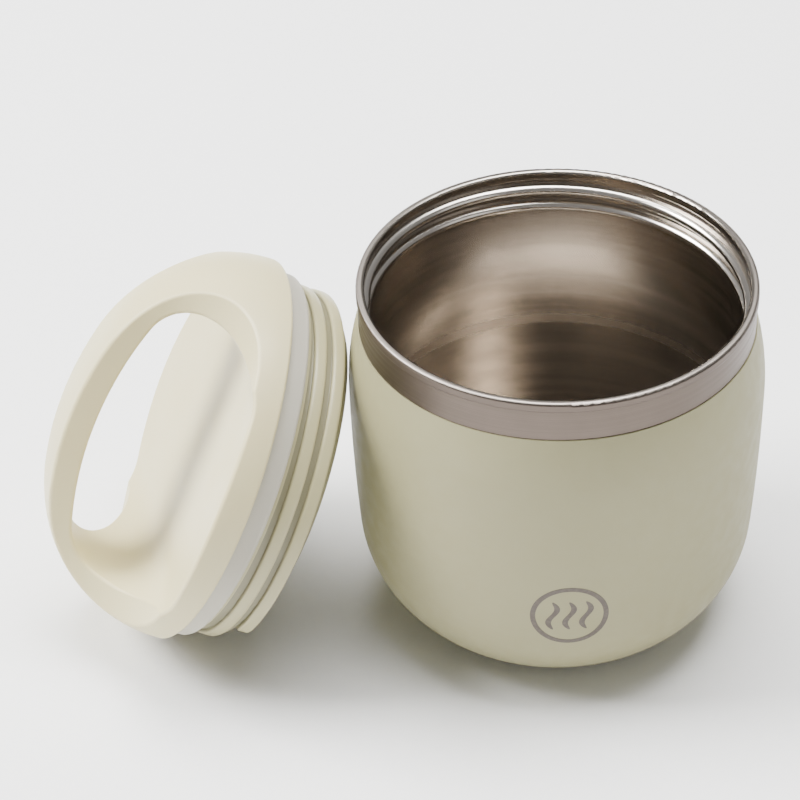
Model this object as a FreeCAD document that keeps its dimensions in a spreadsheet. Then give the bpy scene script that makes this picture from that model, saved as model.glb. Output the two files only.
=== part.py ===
import FreeCAD, Part
import math
import os
import Sketcher

# Insulated food jar with its screw lid off, millimetres, +Z up.
# The origin is the centre of the jar's foot. The lid is drawn upright in a frame of its own,
# its plug's end at zero and its handle along X, and is then leaned against the jar.

SIZES = {
    # Jar, outside
    "jar_height": 100.0,
    "widest_radius": 52.8,
    "widest_height": 70.0,
    "band_inset": 3.1,
    "band_height": 11.0,
    "rim_overhang": 0.3,
    "lower_inset": 1.4,
    "lower_height": 28.0,
    "foot_inset": 19.8,
    "foot_rise": 1.2,
    "coat_thickness": 0.3,
    "steel_thickness": 0.6,
    # Rolled lip
    "lip_width": 2.15,
    "lip_depth": 2.4,
    "lip_rounding": 0.8,
    # Inner liner
    "neck_gap": 0.1,
    "cavity_depth": 91.5,
    "cavity_corner": 16.0,
    # Screw thread of the neck and of the plug
    "thread_pitch": 5.0,
    "thread_depth": 1.85,
    "neck_rib_crest": 1.1,
    "neck_rib_base": 2.4,
    "neck_thread_turns": 1.5,
    "neck_thread_drop": 4.2,
    "neck_thread_angle": 0.0,
    "plug_thread_turns": 1.5,
    "plug_thread_start": 3.1,
    "plug_rib_crest": 2.1,
    "plug_rib_base": 3.3,
    "plug_thread_angle": 48.0,
    "crest_clearance": 0.6,
    "root_clearance": 0.5,
    # Base of the jar
    "foot_width": 3.2,
    "foot_rounding": 0.6,
    "base_rise": 2.4,
    "dimple_radius": 6.0,
    "dimple_rise": 1.2,
    "dimple_slope": 0.6,
    "pump_hole_radius": 1.4,
    "seal_radius": 3.4,
    "seal_height": 0.7,
    "getter_radius": 4.0,
    "getter_height": 2.0,
    "getter_offset": 15.0,
    "clip_width": 3.0,
    "clip_foot": 3.0,
    "clip_thickness": 0.3,
    "cover_thickness": 0.9,
    "cover_clearance": 0.3,
    # Lid: moulded cap with its arch handle
    "cap_overhang": 1.6,
    "cap_height": 41.4,
    "cap_crown_radius": 90.0,
    "cap_rim_height": 7.9,
    "cap_edge_rounding": 0.8,
    "handle_width": 17.2,
    "handle_root_radius": 27.0,
    "handle_edge_rounding": 0.9,
    "arch_thickness": 7.6,
    "arch_half_span": 38.0,
    "arch_top_radius": 100.0,
    "arch_corner": 13.0,
    "floor_corner": 12.0,
    "floor_depth": 3.4,
    "tunnel_sweep": 30.0,
    # Lid: threaded plug, its insulation and its gasket
    "plug_depth": 19.0,
    "plug_taper": 2.15,
    "plug_end_land": 0.3,
    "plug_end_rounding": 2.6,
    "plug_wall": 2.2,
    "plug_floor": 2.0,
    "flange_overhang": 0.9,
    "flange_height": 1.1,
    "foam_clearance": 0.3,
    "gasket_inset": 1.1,
    "gasket_width": 3.5,
    "gasket_height": 5.6,
    "gasket_rounding": 1.0,
    # How the lid leans beside the jar
    "lid_tilt": 63.6,
    "lid_heading": 183.5,
    "lid_bearing": 177.3,
    "handle_turn": 15.0,
    "lid_gap": 0.6,
    "table_gap": 0.05,
}

SHEET = "Sizes"


class Size:
    """A number together with the sheet formula that gives it."""

    def __init__(self, value, formula):
        self.value = float(value)
        self.formula = formula

    @staticmethod
    def of(thing):
        return thing if isinstance(thing, Size) else Size(thing, repr(float(thing)))

    def _join(self, other, sign, value):
        return Size(value, f"({self.formula} {sign} {Size.of(other).formula})")

    def __add__(self, other):
        return self._join(other, "+", self.value + Size.of(other).value)

    def __sub__(self, other):
        return self._join(other, "-", self.value - Size.of(other).value)

    def __mul__(self, other):
        return self._join(other, "*", self.value * Size.of(other).value)

    def __truediv__(self, other):
        return self._join(other, "/", self.value / Size.of(other).value)

    def __rsub__(self, other):
        return Size.of(other) - self

    __radd__ = __add__
    __rmul__ = __mul__


def size(name):
    return Size(SIZES[name], f"{SHEET}.{name}")


ZERO = Size(0.0, "0")


def make_sheet(doc):
    """Put every driving size into the sheet, one alias a row."""
    sheet = doc.addObject("Spreadsheet::Sheet", SHEET)
    for row, (name, value) in enumerate(SIZES.items(), start=1):
        sheet.set(f"A{row}", name)
        sheet.set(f"B{row}", str(value))
        sheet.setAlias(f"B{row}", name)
    doc.recompute()
    return sheet


def bind(thing, path, value):
    """Bind one property of an object to a formula of the sheet."""
    thing.setExpression(path, value.formula)


def origin_part(body, role):
    for feature in body.Origin.OriginFeatures:
        if feature.Role == role:
            return feature
    raise RuntimeError(f"{body.Label} has no {role}")


def new_sketch(body, label, role):
    sketch = body.newObject("Sketcher::SketchObject", label)
    sketch.AttachmentSupport = (origin_part(body, role), [""])
    sketch.MapMode = "FlatFace"
    return sketch


class Straight:
    """A straight side of an outline, ending at a point."""

    def __init__(self, x, y):
        self.end = (Size.of(x), Size.of(y))


class Arc(Straight):
    """A round side: its centre lies at a level, or it has a radius, or it leaves its neighbour smoothly."""

    def __init__(self, x, y, level=None, radius=None, left=True, smooth=False):
        super().__init__(x, y)
        self.level = level
        self.radius = radius
        self.left = left
        self.smooth = smooth

    def centre(self, start, heading):
        """The centre as numbers, from the start point and the heading of the side before."""
        x1, y1 = start
        x2, y2 = (value.value for value in self.end)
        if self.level is not None:
            cy = self.level.value
            cx = ((x1 * x1 - x2 * x2) + (y1 - cy) ** 2 - (y2 - cy) ** 2) / (2.0 * (x1 - x2))
            return cx, cy
        if self.smooth:
            nx, ny = -heading[1], heading[0]
            across = (x2 - x1) * nx + (y2 - y1) * ny
            reach = ((x2 - x1) ** 2 + (y2 - y1) ** 2) / (2.0 * across)
            return x1 + nx * reach, y1 + ny * reach
        chord = math.hypot(x2 - x1, y2 - y1)
        rise = math.sqrt(max(self.radius.value ** 2 - chord * chord / 4.0, 0.0))
        side = 1.0 if self.left else -1.0
        nx, ny = -(y2 - y1) / chord * side, (x2 - x1) / chord * side
        return (x1 + x2) / 2.0 + nx * rise, (y1 + y2) / 2.0 + ny * rise


def name_constraint(sketch, index, label, value):
    sketch.renameConstraint(index, label)
    sketch.setExpression(f"Constraints.{label}", value.formula)


def draw(sketch, start, sides):
    """Draw a closed outline and bind every corner and every round side to the sheet."""
    here = (Size.of(start[0]), Size.of(start[1]))
    first = here
    heading = (1.0, 0.0)
    ends = []
    for number, side in enumerate(sides):
        p1 = (here[0].value, here[1].value)
        p2 = (side.end[0].value, side.end[1].value)
        if isinstance(side, Arc):
            cx, cy = side.centre(p1, heading)
            radius = math.hypot(p1[0] - cx, p1[1] - cy)
            a1 = math.atan2(p1[1] - cy, p1[0] - cx)
            a2 = math.atan2(p2[1] - cy, p2[0] - cx)
            turn_left = (p2[0] - p1[0]) * (cy - p1[1]) - (p2[1] - p1[1]) * (cx - p1[0]) > 0
            circle = Part.Circle(FreeCAD.Vector(cx, cy, 0), FreeCAD.Vector(0, 0, 1), radius)
            low, high = (a1, a2) if turn_left else (a2, a1)
            index = sketch.addGeometry(Part.ArcOfCircle(circle, low, high), False)
            begin, finish = (1, 2) if turn_left else (2, 1)
            ux, uy = (p2[0] - cx) / radius, (p2[1] - cy) / radius
            heading = (-uy, ux) if turn_left else (uy, -ux)
            if side.level is not None:
                made = sketch.addConstraint(
                    Sketcher.Constraint("DistanceY", -1, 1, index, 3, side.level.value))
                name_constraint(sketch, made, f"level_{number}", side.level)
            elif side.radius is not None:
                made = sketch.addConstraint(Sketcher.Constraint("Radius", index, side.radius.value))
                name_constraint(sketch, made, f"radius_{number}", side.radius)
        else:
            line = Part.LineSegment(FreeCAD.Vector(*p1, 0), FreeCAD.Vector(*p2, 0))
            index = sketch.addGeometry(line, False)
            begin, finish = 1, 2
            length = math.hypot(p2[0] - p1[0], p2[1] - p1[1])
            heading = ((p2[0] - p1[0]) / length, (p2[1] - p1[1]) / length)
        smooth = isinstance(side, Arc) and side.smooth
        ends.append((index, begin, finish, smooth, side.end, number))
        here = side.end
    for number, (index, begin, finish, smooth, corner, _) in enumerate(ends):
        before = ends[number - 1]
        kind = "Tangent" if smooth else "Coincident"
        sketch.addConstraint(Sketcher.Constraint(kind, before[0], before[2], index, begin))
        for axis, value, line in (("X", corner[0], -2), ("Y", corner[1], -1)):
            if value.value == 0.0:
                sketch.addConstraint(Sketcher.Constraint("PointOnObject", index, finish, line))
                continue
            made = sketch.addConstraint(
                Sketcher.Constraint(f"Distance{axis}", -1, 1, index, finish, value.value))
            name_constraint(sketch, made, f"corner_{axis.lower()}_{number}", value)
    assert math.dist([v.value for v in here], [v.value for v in first]) < 1e-6
    return sketch


def new_body(doc, label):
    body = doc.addObject("PartDesign::Body", label)
    body.Label = label
    return body


def turned(body, label, start, sides):
    """Turn an outline a full turn about the body's Z axis."""
    sketch = draw(new_sketch(body, f"{label}_outline", "XZ_Plane"), start, sides)
    turn = body.newObject("PartDesign::Revolution", label)
    turn.Profile = sketch
    turn.ReferenceAxis = (sketch, ["V_Axis"])
    turn.Angle = 360.0
    sketch.Visibility = False
    return turn


def cut_round(body, label, start, sides):
    """Cut an outline a full turn about the body's Z axis."""
    sketch = draw(new_sketch(body, f"{label}_outline", "XZ_Plane"), start, sides)
    cut = body.newObject("PartDesign::Groove", label)
    cut.Profile = sketch
    cut.ReferenceAxis = (sketch, ["V_Axis"])
    cut.Angle = 360.0
    sketch.Visibility = False
    return cut


def threaded(body, label, buried, root, crest, crest_width, base_width, middle, turns, angle):
    """Wind a thread rib, its flanks tapering to the crest, about the body's Z axis."""
    start = (buried, middle - base_width / 2)
    sides = [
        Straight(root, middle - base_width / 2),
        Straight(crest, middle - crest_width / 2),
        Straight(crest, middle + crest_width / 2),
        Straight(root, middle + base_width / 2),
        Straight(buried, middle + base_width / 2),
        Straight(*start),
    ]
    sketch = draw(new_sketch(body, f"{label}_profile", "XZ_Plane"), start, sides)
    sketch.AttachmentOffset = FreeCAD.Placement(
        FreeCAD.Vector(0, 0, 0), FreeCAD.Rotation(FreeCAD.Vector(0, 1, 0), angle.value))
    bind(sketch, "AttachmentOffset.Rotation.Angle", angle)
    rib = body.newObject("PartDesign::AdditiveHelix", label)
    rib.Profile = sketch
    rib.ReferenceAxis = (sketch, ["V_Axis"])
    rib.Mode = "pitch-turns-angle"
    rib.Angle = 0.0
    bind(rib, "Pitch", size("thread_pitch"))
    bind(rib, "Turns", turns)
    sketch.Visibility = False
    return rib


# Levels and radii that several pieces share

BAND_LEVEL = size("jar_height") - size("band_height")
LIP_LEVEL = size("jar_height") - size("lip_depth")
BAND_RADIUS = size("widest_radius") - size("band_inset")
LOWER_RADIUS = size("widest_radius") - size("lower_inset")
FOOT_RADIUS = size("widest_radius") - size("foot_inset")
RIM_RADIUS = BAND_RADIUS + size("rim_overhang")
LIP_RADIUS = RIM_RADIUS - size("lip_width")
LINER_RADIUS = BAND_RADIUS - size("steel_thickness") * 2 - size("neck_gap")
NECK_CREST = LINER_RADIUS - size("thread_depth")
CAVITY_FLOOR = size("jar_height") - size("cavity_depth")
BASE_TOP = size("base_rise") + size("steel_thickness")
PLUG_CREST = LIP_RADIUS - size("crest_clearance")
PLUG_ROOT = NECK_CREST - size("root_clearance")
PLUG_END = PLUG_ROOT - size("plug_taper")
PLUG_BORE = PLUG_END - size("plug_wall")
GASKET_RADIUS = RIM_RADIUS - size("gasket_inset")
GASKET_SEAT = GASKET_RADIUS - size("gasket_width")
CAP_RADIUS = BAND_RADIUS + size("cap_overhang")
GASKET_LEVEL = size("plug_depth") - size("gasket_height")
CAP_LEVEL = size("plug_depth")
CAP_TOP = CAP_LEVEL + size("cap_height")
CAP_RIM = CAP_LEVEL + size("cap_rim_height")


def wall_region(inset, top, top_radius, bottom):
    """The region inside the jar's wall, its wall moved in by an inset, from a top level to a bottom one."""
    foot_level = size("foot_rise") + inset
    sides = []
    if top is not BAND_LEVEL:
        sides.append(Straight(top_radius, top))
    sides += [
        Straight(top_radius, BAND_LEVEL),
        Arc(size("widest_radius") - inset, size("widest_height"), level=size("widest_height")),
        Arc(LOWER_RADIUS - inset, size("lower_height"), level=size("widest_height")),
        Arc(FOOT_RADIUS, foot_level, smooth=True),
    ]
    if bottom is not None:
        sides.append(Straight(FOOT_RADIUS, bottom))
    sides += [Straight(ZERO, bottom if bottom is not None else foot_level), Straight(ZERO, top)]
    return (ZERO, top), sides


def make_body_coating(doc):
    """The powder coat on the outer shell, from the bare band to the foot."""
    body = new_body(doc, "body_coating")
    coat = size("coat_thickness")
    turned(body, "coat", *wall_region(ZERO, BAND_LEVEL, BAND_RADIUS + coat, None))
    cut_round(body, "coat_bore", *wall_region(coat, BAND_LEVEL, BAND_RADIUS, ZERO))
    return body


def make_outer_shell(doc):
    """The drawn steel outer wall, bare at the band under the lip."""
    body = new_body(doc, "outer_shell")
    coat, steel = size("coat_thickness"), size("steel_thickness")
    turned(body, "shell", *wall_region(coat, LIP_LEVEL, BAND_RADIUS, None))
    bore_radius = BAND_RADIUS - steel
    cut_round(body, "shell_bore", *wall_region(coat + steel, LIP_LEVEL, bore_radius, ZERO))
    return body


def make_inner_liner(doc):
    """The steel liner: the cavity, the thread rolled into its neck and the rolled lip."""
    body = new_body(doc, "inner_liner")
    steel, corner, rounding = size("steel_thickness"), size("cavity_corner"), size("lip_rounding")
    height, bore, rim = size("jar_height"), LINER_RADIUS, RIM_RADIUS
    floor = CAVITY_FLOOR - steel
    turned(body, "liner", (ZERO, floor), [
        Straight(bore - corner, floor),
        Arc(bore + steel, CAVITY_FLOOR + corner, smooth=True),
        Straight(bore + steel, LIP_LEVEL),
        Straight(rim, LIP_LEVEL),
        Straight(rim, height - rounding),
        Arc(rim - rounding, height, smooth=True),
        Straight(ZERO, height),
        Straight(ZERO, floor),
    ])
    cut_round(body, "cavity", (ZERO, CAVITY_FLOOR), [
        Straight(bore - corner, CAVITY_FLOOR),
        Arc(bore, CAVITY_FLOOR + corner, smooth=True),
        Straight(bore, LIP_LEVEL),
        Straight(LIP_RADIUS, LIP_LEVEL),
        Straight(LIP_RADIUS, height - rounding),
        Arc(LIP_RADIUS + rounding, height, radius=rounding, left=False),
        Straight(ZERO, height),
        Straight(ZERO, CAVITY_FLOOR),
    ])
    turns = size("neck_thread_turns")
    lowest = height - size("neck_thread_drop") - size("thread_pitch") * turns
    threaded(body, "neck_thread", bore + steel / 2, bore, NECK_CREST, size("neck_rib_crest"),
             size("neck_rib_base"), lowest, turns, size("neck_thread_angle"))
    return body


def make_shell_base(doc):
    """The steel base welded into the shell: its foot ring, its floor and the dimple for the seal."""
    body = new_body(doc, "shell_base")
    steel, foot, rounding = size("steel_thickness"), FOOT_RADIUS, size("foot_rounding")
    inner = foot - size("foot_width")
    low = size("base_rise")
    raised = low + size("dimple_rise")
    dimple, slope, hole = size("dimple_radius"), size("dimple_slope"), size("pump_hole_radius")
    turned(body, "base", (hole, raised), [
        Straight(dimple - slope, raised),
        Straight(dimple, low),
        Straight(inner, low),
        Straight(inner, ZERO),
        Straight(foot - rounding, ZERO),
        Arc(foot, rounding, smooth=True),
        Straight(foot, BASE_TOP),
        Straight(foot - steel, BASE_TOP),
        Straight(foot - steel, steel),
        Straight(inner + steel, steel),
        Straight(inner + steel, BASE_TOP),
        Straight(dimple, BASE_TOP),
        Straight(dimple - slope, raised + steel),
        Straight(hole, raised + steel),
        Straight(hole, raised),
    ])
    return body


def make_vacuum_seal(doc):
    """The brazed button that closes the hole through which the wall was pumped out."""
    body = new_body(doc, "vacuum_seal")
    raised = size("base_rise") + size("dimple_rise")
    head = raised - size("seal_height")
    turned(body, "seal", (ZERO, head), [
        Straight(size("seal_radius"), head),
        Straight(size("seal_radius"), raised),
        Straight(size("pump_hole_radius"), raised),
        Straight(size("pump_hole_radius"), raised + size("steel_thickness")),
        Straight(ZERO, raised + size("steel_thickness")),
        Straight(ZERO, head),
    ])
    return body


def make_getter(doc):
    """The pill that keeps the vacuum, standing on the base."""
    getter = doc.addObject("Part::Cylinder", "getter")
    getter.Label = "getter"
    bind(getter, "Radius", size("getter_radius"))
    bind(getter, "Height", size("getter_height"))
    bind(getter, "Placement.Base.x", size("getter_offset"))
    bind(getter, "Placement.Base.z", BASE_TOP)
    return getter


def make_getter_clip(doc):
    """The thin strap welded over the getter."""
    body = new_body(doc, "getter_clip")
    thin, reach = size("clip_thickness"), size("getter_radius")
    middle, foot = size("getter_offset"), size("clip_foot")
    top = BASE_TOP + size("getter_height")
    left, right = middle - reach, middle + reach
    far_left, far_right = left - thin - foot, right + thin + foot
    sketch = draw(new_sketch(body, "clip_outline", "XZ_Plane"), (far_left, BASE_TOP), [
        Straight(left, BASE_TOP),
        Straight(left, top),
        Straight(right, top),
        Straight(right, BASE_TOP),
        Straight(far_right, BASE_TOP),
        Straight(far_right, BASE_TOP + thin),
        Straight(right + thin, BASE_TOP + thin),
        Straight(right + thin, top + thin),
        Straight(left - thin, top + thin),
        Straight(left - thin, BASE_TOP + thin),
        Straight(far_left, BASE_TOP + thin),
        Straight(far_left, BASE_TOP),
    ])
    strap = body.newObject("PartDesign::Pad", "clip")
    strap.Profile = sketch
    strap.SideType = "Symmetric"
    bind(strap, "Length", size("clip_width"))
    sketch.Visibility = False
    return body


def make_base_cover(doc):
    """The disc pressed into the foot ring over the seal."""
    body = new_body(doc, "base_cover")
    radius = FOOT_RADIUS - size("foot_width") - size("cover_clearance")
    low = size("base_rise") - size("cover_thickness")
    turned(body, "cover", (ZERO, low), [
        Straight(radius, low),
        Straight(radius, size("base_rise")),
        Straight(ZERO, size("base_rise")),
        Straight(ZERO, low),
    ])
    return body


def make_lid_plug(doc):
    """The plug: a cup with its thread outside and a flange under the gasket."""
    body = new_body(doc, "lid_plug")
    end, rounding = PLUG_END, size("plug_end_rounding")
    land = rounding + size("plug_end_land")
    flange = PLUG_ROOT + size("flange_overhang")
    flange_low = GASKET_LEVEL - size("flange_height")
    seat = GASKET_SEAT
    turned(body, "plug", (ZERO, ZERO), [
        Straight(end - rounding, ZERO),
        Arc(end, rounding, smooth=True),
        Straight(end, land),
        Straight(PLUG_ROOT, land + (PLUG_ROOT - end)),
        Straight(PLUG_ROOT, flange_low),
        Straight(flange, flange_low),
        Straight(flange, GASKET_LEVEL),
        Straight(seat, GASKET_LEVEL),
        Straight(seat, CAP_LEVEL),
        Straight(ZERO, CAP_LEVEL),
        Straight(ZERO, ZERO),
    ])
    cut_round(body, "plug_bore", (ZERO, size("plug_floor")), [
        Straight(PLUG_BORE, size("plug_floor")),
        Straight(PLUG_BORE, CAP_LEVEL),
        Straight(ZERO, CAP_LEVEL),
        Straight(ZERO, size("plug_floor")),
    ])
    threaded(body, "plug_thread", end - size("plug_wall") / 2, PLUG_ROOT, PLUG_CREST,
             size("plug_rib_crest"), size("plug_rib_base"), size("plug_thread_start"),
             size("plug_thread_turns"), size("plug_thread_angle"))
    return body


def make_lid_foam(doc):
    """The insulation puck inside the plug."""
    body = new_body(doc, "lid_foam")
    play = size("foam_clearance")
    low, high, radius = size("plug_floor") + play, CAP_LEVEL - play, PLUG_BORE - play
    turned(body, "foam", (ZERO, low), [
        Straight(radius, low),
        Straight(radius, high),
        Straight(ZERO, high),
        Straight(ZERO, low),
    ])
    return body


def make_lid_gasket(doc):
    """The silicone ring between the cap and the plug's flange, which seals on the lip."""
    body = new_body(doc, "lid_gasket")
    seat, radius, rounding = GASKET_SEAT, GASKET_RADIUS, size("gasket_rounding")
    turned(body, "gasket", (seat, GASKET_LEVEL), [
        Straight(radius - rounding, GASKET_LEVEL),
        Arc(radius, GASKET_LEVEL + rounding, smooth=True),
        Straight(radius, CAP_LEVEL),
        Straight(seat, CAP_LEVEL),
        Straight(seat, GASKET_LEVEL),
    ])
    return body


def mirrored(body, feature, role, label):
    """Repeat a cut on the other side of one of the body's planes."""
    twin = body.newObject("PartDesign::Mirrored", label)
    twin.Originals = [feature]
    twin.MirrorPlane = (origin_part(body, role), [""])
    body.Tip = twin
    return twin


def square_root(value):
    return Size(math.sqrt(value.value), f"sqrt({value.formula})")


SHARP = math.radians(8.0)


def sharp_edges(shape):
    """Name every edge at which two faces meet at an angle."""
    names = []
    for number, edge in enumerate(shape.Edges, start=1):
        faces = [face for face in shape.Faces if any(side.isSame(edge) for side in face.Edges)]
        if len(faces) != 2:
            continue
        middle = edge.valueAt((edge.FirstParameter + edge.LastParameter) / 2)
        first, second = (face.normalAt(*face.Surface.parameter(middle)) for face in faces)
        if first.getAngle(second) > SHARP:
            names.append(f"Edge{number}")
    return names


def make_lid_cap(doc):
    """The moulded cap: a dome cut away on both sides of an arch handle, with a finger tunnel under it."""
    body = new_body(doc, "lid_cap")
    edge, crown_radius = size("cap_edge_rounding"), size("cap_crown_radius")
    rise = size("cap_height") - edge
    crown_drop = crown_radius - rise
    side_radius = (crown_radius * crown_radius - CAP_RADIUS * CAP_RADIUS - crown_drop * crown_drop) / (
        (crown_radius - CAP_RADIUS) * 2)
    share = crown_radius / (crown_radius - side_radius)
    turned(body, "dome", (ZERO, CAP_LEVEL), [
        Straight(CAP_RADIUS - edge, CAP_LEVEL),
        Arc(CAP_RADIUS, CAP_LEVEL + edge, smooth=True),
        Arc((CAP_RADIUS - side_radius) * share, CAP_TOP - crown_radius + crown_drop * share, smooth=True),
        Arc(ZERO, CAP_TOP, smooth=True),
        Straight(ZERO, CAP_LEVEL),
    ])
    doc.recompute()

    half_width, root = size("handle_width") / 2, size("handle_root_radius")
    beyond = CAP_RADIUS + size("handle_root_radius")
    over = CAP_TOP + size("handle_root_radius")
    shoulder = draw(new_sketch(body, "shoulder_outline", "YZ_Plane"), (half_width, CAP_RIM + root), [
        Arc(half_width + root, CAP_RIM, radius=root, left=True),
        Straight(beyond, CAP_RIM),
        Straight(beyond, over),
        Straight(half_width, over),
        Straight(half_width, CAP_RIM + root),
    ])
    side_cut = body.newObject("PartDesign::Pocket", "shoulder_cut")
    side_cut.Profile = shoulder
    side_cut.SideType = "Symmetric"
    bind(side_cut, "Length", beyond * 2)
    doc.recompute()
    mirrored(body, side_cut, "XZ_Plane", "shoulder_cuts")
    doc.recompute()

    span, top = size("arch_half_span"), CAP_TOP - size("arch_thickness")
    floor = CAP_RIM - size("floor_depth")
    corner, crown = size("arch_corner"), size("arch_top_radius")
    reach = crown - corner
    fall = square_root(reach * reach - (span - corner) * (span - corner))
    crown_level = top - crown
    touch_x = crown * (span - corner) / reach
    touch_level = crown_level + crown * fall / reach
    tunnel = draw(new_sketch(body, "tunnel_outline", "XZ_Plane"), (ZERO, floor), [
        Straight(span - size("floor_corner"), floor),
        Arc(span, floor + size("floor_corner"), smooth=True),
        Straight(span, crown_level + fall),
        Arc(touch_x, touch_level, smooth=True),
        Arc(ZERO, top, smooth=True),
        Straight(ZERO, floor),
    ])
    depth, reach_out = size("floor_depth"), CAP_RADIUS
    sweep_radius = (reach_out * reach_out + depth * depth) / (depth * 2)
    axis_level = floor + sweep_radius
    left_end = FreeCAD.Vector(0, axis_level.value, 0)
    right_end = FreeCAD.Vector(span.value, axis_level.value, 0)
    axis = tunnel.addGeometry(Part.LineSegment(left_end, right_end), True)
    tunnel.addConstraint(Sketcher.Constraint("Horizontal", axis))
    tunnel.addConstraint(Sketcher.Constraint("PointOnObject", axis, 1, -2))
    made = tunnel.addConstraint(Sketcher.Constraint("DistanceY", -1, 1, axis, 1, axis_level.value))
    name_constraint(tunnel, made, "axis_level", axis_level)
    made = tunnel.addConstraint(Sketcher.Constraint("DistanceX", axis, 1, axis, 2, span.value))
    name_constraint(tunnel, made, "axis_length", span)
    half_tunnel = body.newObject("PartDesign::Groove", "tunnel_cut")
    half_tunnel.Profile = tunnel
    half_tunnel.ReferenceAxis = (tunnel, ["Axis0"])
    half_tunnel.Midplane = True
    bind(half_tunnel, "Angle", size("tunnel_sweep"))
    doc.recompute()
    tunnels = mirrored(body, half_tunnel, "YZ_Plane", "tunnel_cuts")
    doc.recompute()
    soft = body.newObject("PartDesign::Fillet", "soft_edges")
    soft.Base = (tunnels, sharp_edges(tunnels.Shape))
    bind(soft, "Radius", size("handle_edge_rounding"))
    body.Tip = soft
    doc.recompute()
    return body


def lean_lid(pieces):
    """Lean the upright lid against the jar, its thread's crest on the table."""
    tilt = math.radians(SIZES["lid_tilt"])
    turn = (
        FreeCAD.Rotation(FreeCAD.Vector(0, 0, 1), SIZES["lid_heading"])
        * FreeCAD.Rotation(FreeCAD.Vector(0, 1, 0), SIZES["lid_tilt"])
        * FreeCAD.Rotation(FreeCAD.Vector(0, 0, 1), SIZES["handle_turn"])
    )
    climb = SIZES["thread_pitch"] * (1.0 - (SIZES["handle_turn"] + SIZES["plug_thread_angle"]) / 360.0)
    crest_low = SIZES["plug_thread_start"] + climb - SIZES["plug_rib_crest"] / 2
    height = PLUG_CREST.value * math.sin(tilt) - crest_low * math.cos(tilt) + SIZES["table_gap"]
    corner = PLUG_END.value - SIZES["plug_end_rounding"]
    touch = height + corner * math.sin(tilt) + SIZES["plug_end_rounding"] * math.cos(tilt)
    swell = SIZES["widest_radius"] - BAND_RADIUS.value - SIZES["coat_thickness"]
    rise = BAND_LEVEL.value - SIZES["widest_height"]
    bend = (swell ** 2 + rise ** 2) / (2 * swell)
    wall = SIZES["widest_radius"] - bend + math.sqrt(bend ** 2 - (touch - SIZES["widest_height"]) ** 2)
    rounded_off = SIZES["plug_end_rounding"] * (1 - math.sin(tilt))
    reach = wall + SIZES["lid_gap"] + corner * math.cos(tilt) + rounded_off
    bearing = math.radians(SIZES["lid_bearing"])
    place = FreeCAD.Vector(reach * math.cos(bearing), reach * math.sin(bearing), height)
    for piece in pieces:
        piece.Placement = FreeCAD.Placement(place, turn)


def check(doc, pieces):
    """Stop unless every object recomputed and every piece is one valid solid or more."""
    for thing in doc.Objects:
        bad = {"Invalid", "Error"} & set(thing.State)
        if bad:
            raise RuntimeError(f"{thing.Label} is {bad}")
    for piece in pieces:
        shape = piece.Shape
        if shape.isNull() or not shape.isValid() or not shape.Solids:
            raise RuntimeError(f"{piece.Label} has no valid solid")


def main():
    doc = FreeCAD.newDocument("food_jar")
    make_sheet(doc)
    jar = [
        make_outer_shell(doc),
        make_body_coating(doc),
        make_inner_liner(doc),
        make_shell_base(doc),
        make_vacuum_seal(doc),
        make_getter(doc),
        make_getter_clip(doc),
        make_base_cover(doc),
    ]
    lid = [make_lid_cap(doc), make_lid_plug(doc), make_lid_foam(doc), make_lid_gasket(doc)]
    doc.recompute()
    lean_lid(lid)
    doc.recompute()
    check(doc, jar + lid)
    os.makedirs("parts", exist_ok=True)
    for piece in jar + lid:
        piece.Shape.exportStep(f"parts/{piece.Label}.step")
        box = piece.Shape.BoundBox
        print(f"{piece.Label}: {len(piece.Shape.Solids)} solid, {piece.Shape.Volume:.1f} mm3, "
              f"z {box.ZMin:.2f} to {box.ZMax:.2f}")


main()
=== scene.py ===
import logging
import math
from dataclasses import dataclass, field
from enum import Enum

import bpy
from mathutils import Matrix, Vector


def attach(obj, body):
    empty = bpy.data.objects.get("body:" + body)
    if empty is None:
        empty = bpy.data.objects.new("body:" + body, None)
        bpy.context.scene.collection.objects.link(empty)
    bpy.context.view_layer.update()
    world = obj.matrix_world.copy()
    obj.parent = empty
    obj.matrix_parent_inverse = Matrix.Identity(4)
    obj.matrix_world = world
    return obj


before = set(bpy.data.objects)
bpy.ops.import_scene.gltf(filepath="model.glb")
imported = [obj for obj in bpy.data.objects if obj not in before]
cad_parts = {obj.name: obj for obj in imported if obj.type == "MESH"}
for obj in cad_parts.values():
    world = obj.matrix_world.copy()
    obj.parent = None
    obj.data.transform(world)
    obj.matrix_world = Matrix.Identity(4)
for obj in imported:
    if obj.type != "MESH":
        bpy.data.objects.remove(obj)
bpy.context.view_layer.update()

log = logging.getLogger("food_jar")

Colour = tuple[float, float, float]
Point = tuple[float, float, float]
Span = tuple[float, float]
Socket = bpy.types.NodeSocket

# Metres and degrees, as everywhere below.
LID_ORIGIN: Point = (-0.07149453, 0.0033716, 0.03962676)
LID_HEADING = 183.5
LID_TILT = 63.6
HANDLE_TURN = 15.0
MERGE_DISTANCE = 0.000002
CREASE = 40.0


# Frame

class Body(Enum):
    """The two rigid bodies of the jar."""

    JAR = "jar"
    LID = "lid"


def lid_axes() -> Matrix:
    """Give the lid's own frame: Z along its screw axis, X along its handle.

    Returns:
        The matrix that takes a point of the upright lid to its place beside the jar.
    """
    turn = (Matrix.Rotation(math.radians(LID_HEADING), 4, "Z")
            @ Matrix.Rotation(math.radians(LID_TILT), 4, "Y")
            @ Matrix.Rotation(math.radians(HANDLE_TURN), 4, "Z"))
    return Matrix.Translation(LID_ORIGIN) @ turn


# Node graphs

@dataclass(frozen=True)
class Layer:
    """One noise of a finish, and the bump that it makes."""

    scale: float
    detail: float = 2.0
    roughness: float = 0.5
    depth: float = 0.0
    strength: float = 0.0


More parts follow.
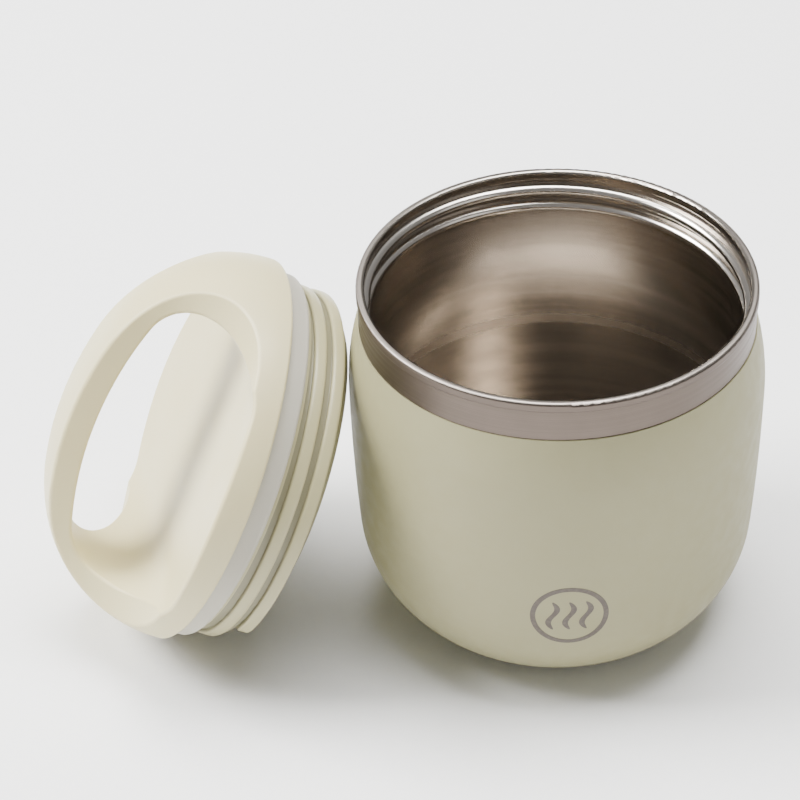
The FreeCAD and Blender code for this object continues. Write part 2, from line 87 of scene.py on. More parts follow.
class Graph:
    """One material's node tree, built a node at a time."""

    edge_samples: int = 6

    def __init__(self, name: str) -> None:
        """Start a material that holds only its output and its shader.

        Args:
            name: The material's name.
        """
        self.material: bpy.types.Material = bpy.data.materials.new(name)
        self.material.use_nodes = True
        self.tree: bpy.types.NodeTree = self.material.node_tree
        self.tree.nodes.clear()
        self.shader: bpy.types.Node = self.add("ShaderNodeBsdfPrincipled")
        output = self.add("ShaderNodeOutputMaterial")
        self.join(self.shader.outputs["BSDF"], output.inputs["Surface"])

    @classmethod
    def around(cls, material: bpy.types.Material) -> "Graph":
        """Take up a finished material again to add to it.

        Args:
            material: The material.

        Returns:
            Its graph.
        """
        graph = cls.__new__(cls)
        graph.material = material
        graph.tree = material.node_tree
        graph.shader = next(node for node in graph.tree.nodes if node.type == "BSDF_PRINCIPLED")
        return graph

    def add(self, kind: str, **values: object) -> bpy.types.Node:
        """Add a node and set its sockets.

        Args:
            kind: The node's type name.
            values: Socket values, an underscore standing for a space.

        Returns:
            The new node.
        """
        node = self.tree.nodes.new(kind)
        for key, value in values.items():
            node.inputs[key.replace("_", " ")].default_value = value
        return node

    def shade(self, **values: object) -> None:
        """Set the shader's own sockets, an underscore standing for a space."""
        for key, value in values.items():
            self.shader.inputs[key.replace("_", " ")].default_value = value

    def join(self, source: Socket, target: Socket) -> None:
        """Wire an output to an input."""
        self.tree.links.new(source, target)

    def place(self, scale: Point = (1.0, 1.0, 1.0)) -> Socket:
        """Give the object coordinates, scaled.

        Args:
            scale: The scale along each axis.

        Returns:
            The socket that carries the coordinates.
        """
        where = self.add("ShaderNodeTexCoord")
        mapping = self.add("ShaderNodeMapping", Scale=scale)
        self.join(where.outputs["Object"], mapping.inputs["Vector"])
        return mapping.outputs["Vector"]

    def place_in(self, axes: Matrix) -> Socket:
        """Give the object coordinates as seen from another frame.

        Args:
            axes: The matrix that takes a point of that frame to the object's.

        Returns:
            The socket that carries the coordinates.
        """
        where = self.add("ShaderNodeTexCoord")
        mapping = self.add("ShaderNodeMapping")
        mapping.vector_type = "TEXTURE"
        mapping.inputs["Location"].default_value = tuple(axes.translation)
        mapping.inputs["Rotation"].default_value = tuple(axes.to_euler())
        self.join(where.outputs["Object"], mapping.inputs["Vector"])
        return mapping.outputs["Vector"]

    def noise(self, where: Socket, layer: Layer) -> Socket:
        """Add a noise.

        Args:
            where: The coordinates.
            layer: The noise's scale, octaves and roughness.

        Returns:
            The socket that carries its value.
        """
        node = self.add("ShaderNodeTexNoise", Scale=layer.scale, Detail=layer.detail,
                        Roughness=layer.roughness)
        self.join(where, node.inputs["Vector"])
        return node.outputs["Fac"]

    def spread(self, value: Socket, low: float, high: float,
               start: float = 0.3, end: float = 0.7) -> Socket:
        """Stretch a value from one range to another and clamp it.

        Args:
            value: The socket that carries the value.
            low: What the range's start becomes.
            high: What its end becomes.
            start: The range's start.
            end: The range's end.

        Returns:
            The socket that carries the result.
        """
        node = self.add("ShaderNodeMapRange")
        for name, number in (("From Min", start), ("From Max", end), ("To Min", low), ("To Max", high)):
            node.inputs[name].default_value = number
        self.join(value, node.inputs["Value"])
        return node.outputs["Result"]

    def blend(self, share: Socket, first: Colour, second: Colour) -> Socket:
        """Mix two colours.

        Args:
            share: The second colour's share.
            first: The first colour.
            second: The second colour.

        Returns:
            The socket that carries the mix.
        """
        node = self.add("ShaderNodeMix")
        node.data_type = "RGBA"
        node.inputs["A"].default_value = (*first, 1.0)
        node.inputs["B"].default_value = (*second, 1.0)
        self.join(share, node.inputs["Factor"])
        return node.outputs["Result"]

    def tint(self, share: Socket, under: Socket, over: Colour) -> Socket:
        """Lay one more colour over a colour.

        Args:
            share: The upper colour's share.
            under: The socket that carries the colour below.
            over: The upper colour.

        Returns:
            The socket that carries the mix.
        """
        node = self.add("ShaderNodeMix")
        node.data_type = "RGBA"
        node.inputs["B"].default_value = (*over, 1.0)
        self.join(share, node.inputs["Factor"])
        self.join(under, node.inputs["A"])
        return node.outputs["Result"]

    def relief(self, height: Socket, layer: Layer, below: Socket | None = None) -> Socket:
        """Turn a height into a bump.

        Args:
            height: The socket that carries the height.
            layer: The bump's depth, in metres, and its strength.
            below: The bump or rounded edge on which it lies, if any.

        Returns:
            The socket that carries the normal.
        """
        node = self.add("ShaderNodeBump", Strength=layer.strength, Distance=layer.depth)
        self.join(height, node.inputs["Height"])
        if below is not None:
            self.join(below, node.inputs["Normal"])
        return node.outputs["Normal"]

    def beyond(self, where: Socket, near: float, far: float) -> Socket:
        """Give 0 nearer to the Z axis than one radius and 1 beyond another.

        Args:
            where: The coordinates, unscaled.
            near: The radius up to which the share is 0, in metres.
            far: The radius from which the share is 1, in metres.

        Returns:
            The socket that carries the share.
        """
        flat = self.add("ShaderNodeVectorMath")
        flat.operation = "MULTIPLY"
        flat.inputs[1].default_value = (1.0, 1.0, 0.0)
        self.join(where, flat.inputs[0])
        reach = self.add("ShaderNodeVectorMath")
        reach.operation = "LENGTH"
        self.join(flat.outputs["Vector"], reach.inputs[0])
        return self.spread(reach.outputs["Value"], 0.0, 1.0, near, far)

    def soft_edge(self, radius: float) -> Socket:
        """Round the look of a sharp edge.

        Args:
            radius: The rounding's radius, in metres.

        Returns:
            The socket that carries the normal.
        """
        node = self.add("ShaderNodeBevel", Radius=radius)
        node.samples = self.edge_samples
        return node.outputs["Normal"]

    def finish(self, colour: Socket, roughness: Socket, normal: Socket) -> bpy.types.Material:
        """Wire the shader.

        Args:
            colour: The socket that carries the colour.
            roughness: The socket that carries the roughness.
            normal: The socket that carries the normal.

        Returns:
            The material.
        """
        self.join(colour, self.shader.inputs["Base Color"])
        self.join(roughness, self.shader.inputs["Roughness"])
        self.join(normal, self.shader.inputs["Normal"])
        return self.material


# Finishes

@dataclass(frozen=True)
class PowderCoat:
    """A satin powder coat with a fine orange-peel grain."""

    name: str
    colour: Colour
    shade: Colour
    gloss: float = 0.42
    index: float = 1.5
    smooth: float = 0.46
    rough: float = 0.58
    grain: Layer = Layer(1500.0, 3.0, 0.6, depth=0.00006, strength=0.30)
    peel: Layer = Layer(260.0, 1.0, depth=0.00012, strength=0.05)
    cloud: Layer = Layer(14.0, 3.0)
    speck_share: float = 0.22
    speck_range: Span = (0.62, 0.75)
    speck_tone: float = 0.82

    def build(self) -> bpy.types.Material:
        """Build the coat's nodes.

        Returns:
            The material.
        """
        graph = Graph(self.name)
        graph.shade(Specular_IOR_Level=self.gloss, IOR=self.index)
        where = graph.place()
        grain = graph.noise(where, self.grain)
        peel = graph.noise(where, self.peel)
        cloud = graph.noise(where, self.cloud)
        colour = graph.blend(graph.spread(cloud, 0.0, 1.0), self.colour, self.shade)
        speck = graph.spread(grain, 0.0, self.speck_share, *self.speck_range)
        colour = graph.tint(speck, colour, tuple(part * self.speck_tone for part in self.shade))
        roughness = graph.spread(peel, self.smooth, self.rough)
        normal = graph.relief(grain, self.grain)
        normal = graph.relief(peel, self.peel, normal)
        return graph.finish(colour, roughness, normal)


@dataclass(frozen=True)
class BrushedSteel:
    """Stainless steel brushed in rings about the jar's axis.

    Where a rim colour is given, the metal beyond the rim's radius has it and is more satin, and
    beyond the skirt's radius it has the skirt's colour, a painted dark reflection like the band's.
    """

    name: str
    light: Colour
    dark: Colour
    smooth: float = 0.22
    rough: float = 0.38
    lines: float = 2600.0
    grazing: float = 0.65
    rim: Colour | None = None
    # Painted reflection: as dark as the band's steel, standing for the dark studio that the steel
    # reflects.
    painted_reflection_skirt: Colour = (0.118, 0.095, 0.081)
    rim_blend: Span = (0.0485, 0.0489)
    skirt_blend: Span = (0.0497, 0.0499)
    rim_satin: float = 0.16
    line: Layer = Layer(1.0, 4.0, 0.7, depth=0.00001, strength=0.16)
    line_scale: float = 4.0
    line_share: Span = (0.25, 0.75)
    band: Layer = Layer(1.0)
    band_scale: float = 2.0
    band_lines: float = 0.18
    stain: Layer = Layer(32.0, 4.0, 0.6)
    stain_share: float = 0.55
    stain_range: Span = (0.40, 0.70)
    edge: float = 0.0004

    def tone_rim(self, graph: Graph, colour: Socket, roughness: Socket) -> tuple[Socket, Socket]:
        """Give the rim and the skirt below it their own colours and a satin surface; the skirt's colour
        is a painted dark reflection.

        Args:
            graph: The steel's graph.
            colour: The socket that carries the steel's colour.
            roughness: The socket that carries its roughness.

        Returns:
            The sockets that carry the new colour and roughness.
        """
        where = graph.place()
        rim = graph.beyond(where, *self.rim_blend)
        painted_reflection_skirt = graph.beyond(where, *self.skirt_blend)
        colour = graph.tint(rim, colour, self.rim)
        # Paints the dark reflection on the lip's outer face.
        colour = graph.tint(painted_reflection_skirt, colour, self.painted_reflection_skirt)
        satin = graph.add("ShaderNodeMath")
        satin.operation = "MULTIPLY_ADD"
        satin.inputs[1].default_value = self.rim_satin
        graph.join(rim, satin.inputs[0])
        graph.join(roughness, satin.inputs[2])
        return colour, satin.outputs["Value"]

    def build(self) -> bpy.types.Material:
        """Build the steel's nodes.

        Returns:
            The material.
        """
        graph = Graph(self.name)
        graph.shade(Metallic=1.0, Anisotropic=self.grazing)
        rings = graph.place((self.line_scale, self.line_scale, self.lines))
        broad = graph.place((self.band_scale, self.band_scale, self.lines * self.band_lines))
        line = graph.noise(rings, self.line)
        band = graph.noise(broad, self.band)
        stain = graph.noise(graph.place(), self.stain)
        colour = graph.blend(graph.spread(line, *self.line_share), self.dark, self.light)
        stained = graph.spread(stain, 0.0, self.stain_share, *self.stain_range)
        colour = graph.tint(stained, colour, self.dark)
        roughness = graph.spread(band, self.smooth, self.rough)
        if self.rim is not None:
            colour, roughness = self.tone_rim(graph, colour, roughness)
        normal = graph.relief(line, self.line, graph.soft_edge(self.edge))
        tangent = graph.add("ShaderNodeTangent")
        tangent.direction_type = "RADIAL"
        tangent.axis = "Z"
        graph.join(tangent.outputs["Tangent"], graph.shader.inputs["Tangent"])
        return graph.finish(colour, roughness, normal)


@dataclass(frozen=True)
class MouldedPlastic:
    """Satin moulded plastic with a fine spark-eroded grain."""

    name: str
    colour: Colour
    shade: Colour
    smooth: float = 0.36
    rough: float = 0.46
    soft: float = 0.12
    light_reach: Point = (0.0016, 0.0012, 0.0007)
    index: float = 1.49
    gloss: float = 0.5
    grain: Layer = Layer(2200.0, depth=0.00003, strength=0.18)
    flow: Layer = Layer(22.0)
    sink: Layer = Layer(60.0, 1.0, depth=0.0002, strength=0.05)
    edge: float = 0.0005

    def build(self) -> bpy.types.Material:
        """Build the plastic's nodes.

        Returns:
            The material.
        """
        graph = Graph(self.name)
        graph.shade(IOR=self.index, Specular_IOR_Level=self.gloss, Subsurface_Weight=self.soft,
                    Subsurface_Radius=self.light_reach, Subsurface_Scale=1.0)
        where = graph.place()
        grain = graph.noise(where, self.grain)
        flow = graph.noise(where, self.flow)
        sink = graph.noise(where, self.sink)
        colour = graph.blend(graph.spread(flow, 0.0, 1.0), self.colour, self.shade)
        roughness = graph.spread(sink, self.smooth, self.rough)
        normal = graph.relief(grain, self.grain, graph.soft_edge(self.edge))
        normal = graph.relief(sink, self.sink, normal)
        return graph.finish(colour, roughness, normal)


@dataclass(frozen=True)
class ThreadPlastic(MouldedPlastic):
    """The same plastic on a thread, with shade painted into its grooves so that they are darker than its
    crests.
    """

    # Painted shade: the colour laid in the grooves stands for the shade that falls there.
    painted_groove_shade: Colour = (0.225, 0.208, 0.122)
    groove_radius: float = 0.04625
    crest_radius: float = 0.0470

    def build(self) -> bpy.types.Material:
        """Build the plastic's nodes and paint shade into the grooves.

        Returns:
            The material.
        """
        material = super().build()
        graph = Graph.around(material)
        # Share of the plain colour: none in the grooves, where the shade is painted, all on the crests.
        crest = graph.beyond(graph.place_in(lid_axes()), self.groove_radius, self.crest_radius)
        base = graph.shader.inputs["Base Color"]
        mix = graph.add("ShaderNodeMix")
        mix.data_type = "RGBA"
        mix.inputs["A"].default_value = (*self.painted_groove_shade, 1.0)
        graph.join(crest, mix.inputs["Factor"])
        graph.join(base.links[0].from_socket, mix.inputs["B"])
        graph.join(mix.outputs["Result"], base)
        return material


@dataclass(frozen=True)
class Silicone:
    """Matt silicone with a faint bloom and fine dust."""

    name: str
    colour: Colour
    shade: Colour
    smooth: float = 0.55
    rough: float = 0.68
    soft: float = 0.2
    light_reach: Point = (0.002, 0.0018, 0.0015)
    index: float = 1.41
    sheen: float = 0.15
    bloom: Layer = Layer(45.0, 4.0)
    dust: Layer = Layer(2600.0, depth=0.00003, strength=0.2)
    edge: float = 0.0005

    def build(self) -> bpy.types.Material:
        """Build the silicone's nodes.

        Returns:
            The material.
        """
        graph = Graph(self.name)
        graph.shade(IOR=self.index, Subsurface_Weight=self.soft, Subsurface_Radius=self.light_reach,
                    Subsurface_Scale=1.0, Sheen_Weight=self.sheen)
        where = graph.place()
        bloom = graph.noise(where, self.bloom)
        dust = graph.noise(where, self.dust)
        colour = graph.blend(graph.spread(bloom, 0.0, 1.0), self.colour, self.shade)
        roughness = graph.spread(bloom, self.smooth, self.rough)
        normal = graph.relief(dust, self.dust, graph.soft_edge(self.edge))
        return graph.finish(colour, roughness, normal)


@dataclass(frozen=True)
class Cellular:
    """A closed-cell foam or a pressed powder: small cells all over."""

    name: str
    colour: Colour
    shade: Colour
    cell: float
    cell_depth: float = 0.0002
    cell_relief: float = 0.4
    cell_range: Span = (0.1, 0.7)
    grains_per_cell: float = 2.5
    smooth: float = 0.7
    rough: float = 0.9

    def build(self) -> bpy.types.Material:
        """Build the nodes of the cells.

        Returns:
            The material.
        """
        graph = Graph(self.name)
        where = graph.place()
        pits = Layer(self.cell, depth=self.cell_depth, strength=self.cell_relief)
        cells = graph.add("ShaderNodeTexVoronoi", Scale=pits.scale)
        graph.join(where, cells.inputs["Vector"])
        wall = cells.outputs["Distance"]
        grain = graph.noise(where, Layer(self.cell * self.grains_per_cell, 3.0))
        colour = graph.blend(graph.spread(wall, 0.0, 1.0, *self.cell_range), self.shade, self.colour)
        roughness = graph.spread(grain, self.smooth, self.rough)
        return graph.finish(colour, roughness, graph.relief(wall, pits))


@dataclass(frozen=True)
class ScreenInk:
    """A thin matt ink printed on the coat, a little worn."""

    name: str
    colour: Colour
    worn: Colour
    gloss: float = 0.35
    smooth: float = 0.5
    rough: float = 0.62
    wear: Layer = Layer(900.0, 4.0, 0.65)
    wear_range: Span = (0.45, 0.8)
    peel: Layer = Layer(260.0, 1.0, depth=0.00012, strength=0.10)

    def build(self) -> bpy.types.Material:
        """Build the ink's nodes.

        Returns:
            The material.
        """
        graph = Graph(self.name)
        graph.shade(Specular_IOR_Level=self.gloss)
        where = graph.place()
        wear = graph.noise(where, self.wear)
        peel = graph.noise(where, self.peel)
        colour = graph.blend(graph.spread(wear, 0.0, 1.0, *self.wear_range), self.colour, self.worn)
        roughness = graph.spread(peel, self.smooth, self.rough)
        return graph.finish(colour, roughness, graph.relief(peel, self.peel))


@dataclass(frozen=True)
class PaperGround:
    """The pale studio floor."""

    name: str
    colour: Colour
    gloss: float = 0.15
    smooth: float = 0.8
    rough: float = 0.9
    tooth: Layer = Layer(300.0, 3.0, depth=0.00005, strength=0.1)
    tooth_tone: float = 0.985

    def build(self) -> bpy.types.Material:
        """Build the paper's nodes.

        Returns:
            The material.
        """
        graph = Graph(self.name)
        graph.shade(Specular_IOR_Level=self.gloss)
        tooth = graph.noise(graph.place(), self.tooth)
        shade = tuple(part * self.tooth_tone for part in self.colour)
        colour = graph.blend(graph.spread(tooth, 0.0, 1.0), self.colour, shade)
        roughness = graph.spread(tooth, self.smooth, self.rough)
        return graph.finish(colour, roughness, graph.relief(tooth, self.tooth))


# Dressing

def dress(node: str, material: bpy.types.Material) -> None:
    """Give a carried-over solid its finish.

    Args:
        node: The solid's name.
        material: Its finish.
    """
    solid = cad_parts[node]
    solid.data.materials.clear()
    solid.data.materials.append(material)
    log.info("dressed %s with %s", node, material.name)


def deselect() -> None:
    """Deselect everything."""
    if bpy.context.object is not None and bpy.context.object.mode != "OBJECT":
        bpy.ops.object.mode_set(mode="OBJECT")
    bpy.ops.object.select_all(action="DESELECT")


def edit(piece: bpy.types.Object) -> None:
    """Open one piece for editing with nothing of it selected.

    Args:
        piece: The piece.
    """
    deselect()
    piece.select_set(True)
    bpy.context.view_layer.objects.active = piece
    bpy.ops.object.mode_set(mode="EDIT")
    bpy.ops.mesh.select_all(action="DESELECT")


def apply_place(piece: bpy.types.Object) -> None:
    """Move a piece's place from its object into its mesh.

    Args:
        piece: The piece.
    """
    deselect()
    piece.select_set(True)
    bpy.context.view_layer.objects.active = piece
    bpy.ops.object.transform_apply(location=True, rotation=True, scale=True)


def settle(piece: bpy.types.Object, body: Body, material: bpy.types.Material) -> None:
    """Close, smooth and dress a new piece and let it ride on its body.

    Args:
        piece: The piece, its modifiers applied.
        body: The body that carries it.
        material: Its finish.
    """
    edit(piece)
    bpy.ops.mesh.select_all(action="SELECT")
    bpy.ops.mesh.remove_doubles(threshold=MERGE_DISTANCE)
    bpy.ops.mesh.normals_make_consistent(inside=False)
    bpy.ops.object.mode_set(mode="OBJECT")
    bpy.ops.object.shade_smooth_by_angle(angle=math.radians(CREASE))
    piece.data.materials.clear()
    piece.data.materials.append(material)
    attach(piece, body.value)
    log.info("built %s, %d faces", piece.name, len(piece.data.polygons))


# Added pieces

@dataclass(frozen=True)
class WoundRib:
    """A rib wound into a screw thread, with a run-out into the wall beyond each end.

    The wall is round Z. A rib that stands inwards has a negative height. Its section is an oval at
    squareness 2 and nearer to a rectangle above that.
    """

    name: str
    wall: float
    height: float
    half_width: float
    squareness: float
    level: float
    turns: float
    pitch: float
    start: float
    root: float = 0.0003
    sunk_share: float = 0.8
    run_out: float = 14.0
    corners: int = 28
    steps_per_turn: int = 120

    @property
    def whole_turns(self) -> float:
        """The rib's turns with both run-outs."""
        return self.turns + self.run_out / 180.0

    @property
    def low(self) -> float:
        """The level at which the lower run-out starts."""
        return self.level - self.pitch * self.run_out / 360.0

    def profile(self, angle: float) -> tuple[float, float]:
        """Give a point of the rib's section.

        Args:
            angle: The angle round the section, in radians.

        Returns:
            How far the point stands off the wall and how far up it lies.
        """
        across, along = math.cos(angle), math.sin(angle)
        power = 2.0 / self.squareness
        out = math.copysign(abs(across) ** power, across)
        up = math.copysign(abs(along) ** power, along) * self.half_width
        if out > 0.0:
            return out * self.height, up
        return out * math.copysign(self.root, self.height), up

    def wind(self) -> bpy.types.Object:
        """Wind the rib.

        Returns:
            The rib, upright about Z.
        """
        deselect()
        bpy.ops.mesh.primitive_circle_add(vertices=self.corners, radius=self.half_width)
        rib = bpy.context.object
        rib.name = self.name
        for corner in rib.data.vertices:
            out, up = self.profile(math.atan2(corner.co.y, corner.co.x))
            corner.co = (self.wall + out, 0.0, self.low + up)
        steps = round(self.steps_per_turn * self.whole_turns)
        winding = rib.modifiers.new("winding", "SCREW")
        winding.axis = "Z"
        winding.angle = math.tau * self.whole_turns
        winding.screw_offset = self.pitch * self.whole_turns
        winding.steps = steps
        winding.render_steps = steps
        bpy.ops.object.modifier_apply(modifier=winding.name)
        self.run_out_ends(rib)
        rib.rotation_euler = (0.0, 0.0, math.radians(self.start - self.run_out))
        apply_place(rib)
        return rib

    def run_out_ends(self, rib: bpy.types.Object) -> None:
        """Shrink the rib's two ends into the wall and close them.

        Args:
            rib: The wound rib.
        """
        whole = 360.0 * self.whole_turns
        inside = self.wall - math.copysign(self.root, self.height) * self.sunk_share
        for corner in rib.data.vertices:
            turned = math.degrees(math.atan2(corner.co.y, corner.co.x)) % 360.0
            rise = (corner.co.z - self.low) / self.pitch * 360.0
            # The level tells the turn, and the bearing the angle within it.
            passed = turned + 360.0 * round((rise - turned) / 360.0)
            near = min(max(min(passed, whole - passed) / self.run_out, 0.0), 1.0)
            full = near * near * (3.0 - 2.0 * near)
            ray = math.radians(passed)
            centre = Vector((inside * math.cos(ray), inside * math.sin(ray),
                             self.low + self.pitch * passed / 360.0))
            corner.co = centre + (corner.co - centre) * full


@dataclass(frozen=True)
class SteamMark:
    """A generic round print: a ring with three wisps of steam, wrapped on the coat."""

    name: str = "steam_print"
    level: float = 0.0345
    radius: float = 0.0098
    line: float = 0.0013
    wisp_height: float = 0.0095
    wisp_gap: float = 0.0042
    wisp_sway: float = 0.0011
    wisp_width: float = 0.00075
    wisp_tip: float = 0.2
    film: float = 0.00006
    depth: float = 0.00012
    shift: float = 0.0002
    stand_off: float = 0.07
    ring_steps: int = 96
    wisp_steps: int = 32

    def ring(self) -> bpy.types.Object:
        """Cut the ring, flat on the ground.

        Returns:
            The ring.
        """
        deselect()
        bpy.ops.mesh.primitive_circle_add(vertices=self.ring_steps, radius=self.radius, fill_type="NGON")
        ring = bpy.context.object
        edit(ring)
        bpy.ops.mesh.select_all(action="SELECT")
        bpy.ops.mesh.inset(thickness=self.line)
        bpy.ops.mesh.delete(type="FACE")
        bpy.ops.object.mode_set(mode="OBJECT")
        return ring

    def wisp(self, across: float) -> bpy.types.Object:
        """Draw one wisp, a ribbon that sways and thins towards its ends.

        Args:
            across: The wisp's place across the ring.

        Returns:
            The wisp.
        """
        deselect()
        bpy.ops.mesh.primitive_grid_add(x_subdivisions=2, y_subdivisions=self.wisp_steps, size=1.0)
        wisp = bpy.context.object
        for corner in wisp.data.vertices:
            along = corner.co.y * 2.0
            width = self.wisp_width * math.sqrt(max(1.0 - along ** 4, self.wisp_tip ** 2))
            sway = self.wisp_sway * math.sin(along * math.pi)
            corner.co = (across + sway + corner.co.x * 2.0 * width, along * self.wisp_height * 0.5, 0.0)
        return wisp

    def build(self, ink: bpy.types.Material) -> bpy.types.Object:
        """Wrap the print on the coat and sink its back a little into it.

        Args:
            ink: Its finish.

        Returns:
            The print.
        """
        parts = [self.ring()] + [self.wisp(step * self.wisp_gap) for step in (-1, 0, 1)]
        deselect()
        for part in parts:
            part.select_set(True)
        bpy.context.view_layer.objects.active = parts[0]
        bpy.ops.object.join()
        mark = bpy.context.object
        mark.name = self.name
        mark.rotation_euler = (math.radians(90.0), 0.0, 0.0)
        mark.location = (self.shift, -self.stand_off, self.level)
        apply_place(mark)
        wrap = mark.modifiers.new("wrap", "SHRINKWRAP")
        wrap.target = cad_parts["body_coating"]
        wrap.wrap_method = "PROJECT"
        wrap.use_project_y = True
        wrap.use_positive_direction = True
        wrap.use_negative_direction = False
        wrap.offset = self.film
        bpy.ops.object.modifier_apply(modifier=wrap.name)
        body = mark.modifiers.new("body", "SOLIDIFY")
        body.thickness = self.depth
        body.offset = -1.0
        bpy.ops.object.modifier_apply(modifier=body.name)
        settle(mark, Body.JAR, ink)
        return mark


# Jar

@dataclass
class JarBody:
    """The vacuum-insulated jar: coat, outer wall, liner, base and what the wall encloses."""

    coat: PowderCoat = field(default_factory=lambda: PowderCoat(
        "sage_powder_coat", (0.315, 0.294, 0.160), (0.300, 0.278, 0.151)))
    # Painted reflection: the band's steel colour is kept very dark to stand for the dark studio that the
    # steel reflects.
    band: BrushedSteel = field(default_factory=lambda: BrushedSteel(
        "brushed_band_steel_painted_dark_reflection", (0.155, 0.125, 0.106), (0.085, 0.068, 0.057), 0.30, 0.45, 5200.0))
    liner: BrushedSteel = field(default_factory=lambda: BrushedSteel(
        "satin_liner_steel", (0.50, 0.455, 0.40), (0.34, 0.305, 0.265), 0.17, 0.30, 900.0, 0.5,
        rim=(0.30, 0.265, 0.235)))
    # Partly painted highlight: the bead's steel is smoother than the liner's, and its colour is made
    # brighter to stand for the highlight that the rounded bead catches.
    rolled: BrushedSteel = field(default_factory=lambda: BrushedSteel(
        "rolled_bead_steel_painted_highlight", (0.80, 0.76, 0.71), (0.66, 0.61, 0.55), 0.15, 0.24, 900.0, 0.3))
    underside: BrushedSteel = field(default_factory=lambda: BrushedSteel(
        "plain_base_steel", (0.55, 0.54, 0.52), (0.42, 0.41, 0.39), 0.3, 0.45, 600.0, 0.2))
    button: BrushedSteel = field(default_factory=lambda: BrushedSteel(
        "brazed_button", (0.50, 0.46, 0.40), (0.35, 0.32, 0.28), 0.35, 0.55, 400.0, 0.0))
    strip: BrushedSteel = field(default_factory=lambda: BrushedSteel(
        "rolled_strip", (0.58, 0.58, 0.57), (0.45, 0.45, 0.44), 0.25, 0.4, 1500.0, 0.3))
    pill: Cellular = field(default_factory=lambda: Cellular(
        "pressed_powder", (0.22, 0.215, 0.21), (0.12, 0.12, 0.12), 3200.0))
    cover: MouldedPlastic = field(default_factory=lambda: MouldedPlastic(
        "cover_plastic", (0.55, 0.525, 0.41), (0.52, 0.50, 0.39), 0.45, 0.6))
    ink: ScreenInk = field(default_factory=lambda: ScreenInk(
        "taupe_ink", (0.105, 0.084, 0.070), (0.15, 0.125, 0.10)))
    bead: WoundRib = field(default_factory=lambda: WoundRib(
        "neck_bead", 0.0484, -0.00202, 0.0015, 2.0, 0.0883, 1.5, 0.005, 0.0))
    mark: SteamMark = field(default_factory=SteamMark)

    def dress(self) -> None:
        """Give each solid of the jar its finish."""
        dress("body_coating", self.coat.build())
        dress("outer_shell", self.band.build())
        dress("inner_liner", self.liner.build())
        settle(self.bead.wind(), Body.JAR, self.rolled.build())
        self.mark.build(self.ink.build())
        dress("shell_base", self.underside.build())
        dress("vacuum_seal", self.button.build())
        dress("getter_clip", self.strip.build())
        dress("getter", self.pill.build())
        dress("base_cover", self.cover.build())


# Lid

@dataclass
class ScrewLid:
    """The screw lid: cap with its arch handle, threaded plug, gasket and foam."""

    cap: MouldedPlastic = field(default_factory=lambda: MouldedPlastic(
        "cream_cap_plastic", (0.62, 0.553, 0.315), (0.605, 0.538, 0.305)))
    # Its thread's grooves carry painted shade.
    plug: ThreadPlastic = field(default_factory=lambda: ThreadPlastic(
        "sage_plug_plastic", (0.43, 0.395, 0.22), (0.41, 0.375, 0.21), 0.3, 0.42))
    gasket: Silicone = field(default_factory=lambda: Silicone(
        "grey_silicone", (0.44, 0.415, 0.345), (0.41, 0.385, 0.32)))
    foam: Cellular = field(default_factory=lambda: Cellular(
        "closed_cell_foam", (0.82, 0.79, 0.70), (0.70, 0.67, 0.58), 1400.0))
    thread: WoundRib = field(default_factory=lambda: WoundRib(
        "plug_thread", 0.04605, 0.00126, 0.00168, 4.0, 0.0031, 1.5, 0.005, 48.0, root=0.003))

    def dress(self) -> None:
        """Give each solid of the lid its finish."""
        dress("lid_cap", self.cap.build())
        plastic = self.plug.build()
        dress("lid_plug", plastic)
        thread = self.thread.wind()
        thread.matrix_world = lid_axes()
        apply_place(thread)
        settle(thread, Body.LID, plastic)
        dress("lid_gasket", self.gasket.build())
        dress("lid_foam", self.foam.build())


# Studio

@dataclass
class Softbox:
    """One large soft lamp aimed at a point."""

    name: str
    place: Point
    aim: Point
    width: float
    height: float
    watts: float

    def hang(self) -> bpy.types.Object:
        """Hang the lamp and aim it.

        Returns:
            The lamp.
        """
        deselect()
        bpy.ops.object.light_add(type="AREA", location=self.place)
        lamp = bpy.context.object
        lamp.name = self.name
        lamp.data.shape = "RECTANGLE"
        lamp.data.size = self.width
        lamp.data.size_y = self.height
        lamp.data.energy = self.watts
        lamp.rotation_euler = (Vector(self.aim) - Vector(self.place)).to_track_quat("-Z", "Y").to_euler()
        log.info("lamp %s, %.1f W", self.name, self.watts)
        return lamp


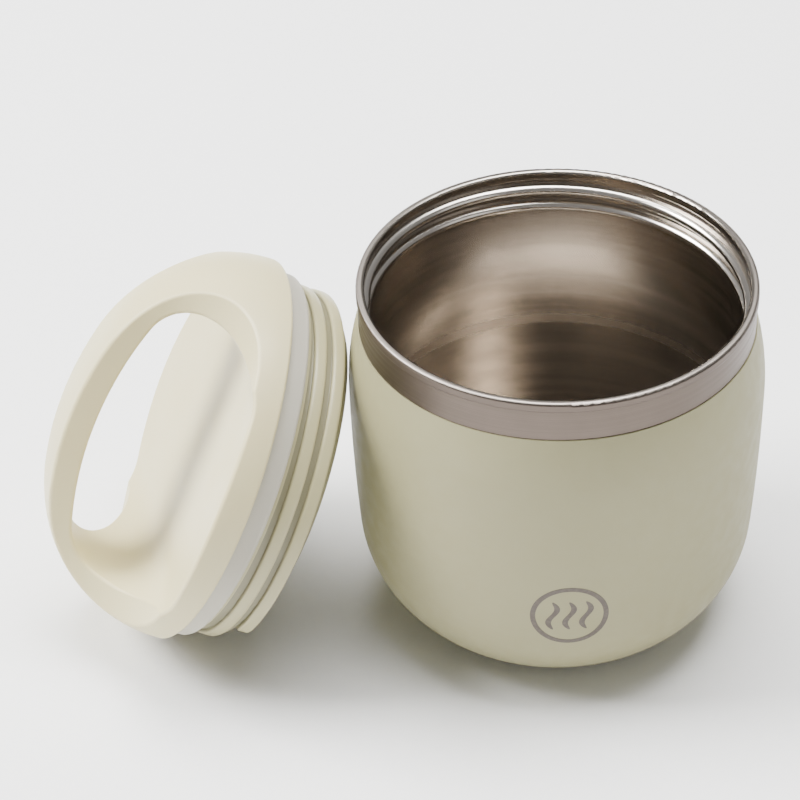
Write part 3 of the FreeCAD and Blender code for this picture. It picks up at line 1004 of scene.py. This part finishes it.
@dataclass
class Studio:
    """The camera, the pale floor and the lamps."""

    place: Point = (-0.0399, -0.5484, 0.4987)
    tilt: float = 38.43
    roll: float = -2.02
    focal: float = 123.06
    sensor: float = 36.0
    sight: Span = (0.02, 30.0)
    floor_span: float = 8.0
    floor_gap: float = 0.0001
    sky: float = 0.25
    paper: PaperGround = field(default_factory=lambda: PaperGround("pale_paper", (0.93, 0.93, 0.925)))
    lamps: tuple[Softbox, ...] = (
        Softbox("key_left", (-1.1, 0.15, 1.1), (-0.05, 0.0, 0.05), 0.7, 0.7, 56.0),
        Softbox("fill_right", (1.2, -0.9, 0.7), (0.0, 0.0, 0.05), 0.9, 0.9, 2.0),
        Softbox("top", (0.1, 0.25, 1.5), (0.0, 0.0, 0.05), 1.2, 0.9, 58.0),
    )

    def camera(self) -> bpy.types.Object:
        """Set the camera where the photograph was taken from.

        Returns:
            The camera.
        """
        deselect()
        bpy.ops.object.camera_add(location=self.place)
        eye = bpy.context.object
        eye.name = "photo_camera"
        eye.data.lens = self.focal
        eye.data.sensor_width = self.sensor
        eye.data.clip_start, eye.data.clip_end = self.sight
        turn = Matrix.Rotation(math.radians(90.0 - self.tilt), 4, "X") @ Matrix.Rotation(
            math.radians(self.roll), 4, "Z")
        eye.matrix_world = Matrix.Translation(self.place) @ turn
        bpy.context.scene.camera = eye
        log.info("camera at %s", self.place)
        return eye

    def floor(self) -> bpy.types.Object:
        """Lay the floor just under the jar's foot.

        Returns:
            The floor.
        """
        deselect()
        bpy.ops.mesh.primitive_plane_add(size=self.floor_span, location=(0.0, 0.0, -self.floor_gap))
        ground = bpy.context.object
        ground.name = "studio_floor"
        bpy.ops.object.transform_apply(location=True, rotation=True, scale=True)
        ground.data.materials.append(self.paper.build())
        return ground

    def daylight(self) -> None:
        """Fill the shadows with an even pale sky."""
        world = bpy.data.worlds.new("studio_sky")
        world.use_nodes = True
        sky = world.node_tree.nodes["Background"]
        sky.inputs["Color"].default_value = (1.0, 1.0, 1.0, 1.0)
        sky.inputs["Strength"].default_value = self.sky
        bpy.context.scene.world = world

    def build(self) -> None:
        """Set up the whole studio."""
        self.camera()
        self.floor()
        self.daylight()
        for lamp in self.lamps:
            lamp.hang()


def main() -> None:
    """Build the studio, the jar and the lid."""
    logging.basicConfig(level=logging.INFO, format="%(name)s: %(message)s")
    Studio().build()
    JarBody().dress()
    ScrewLid().dress()


if __name__ == "__main__":
    main()
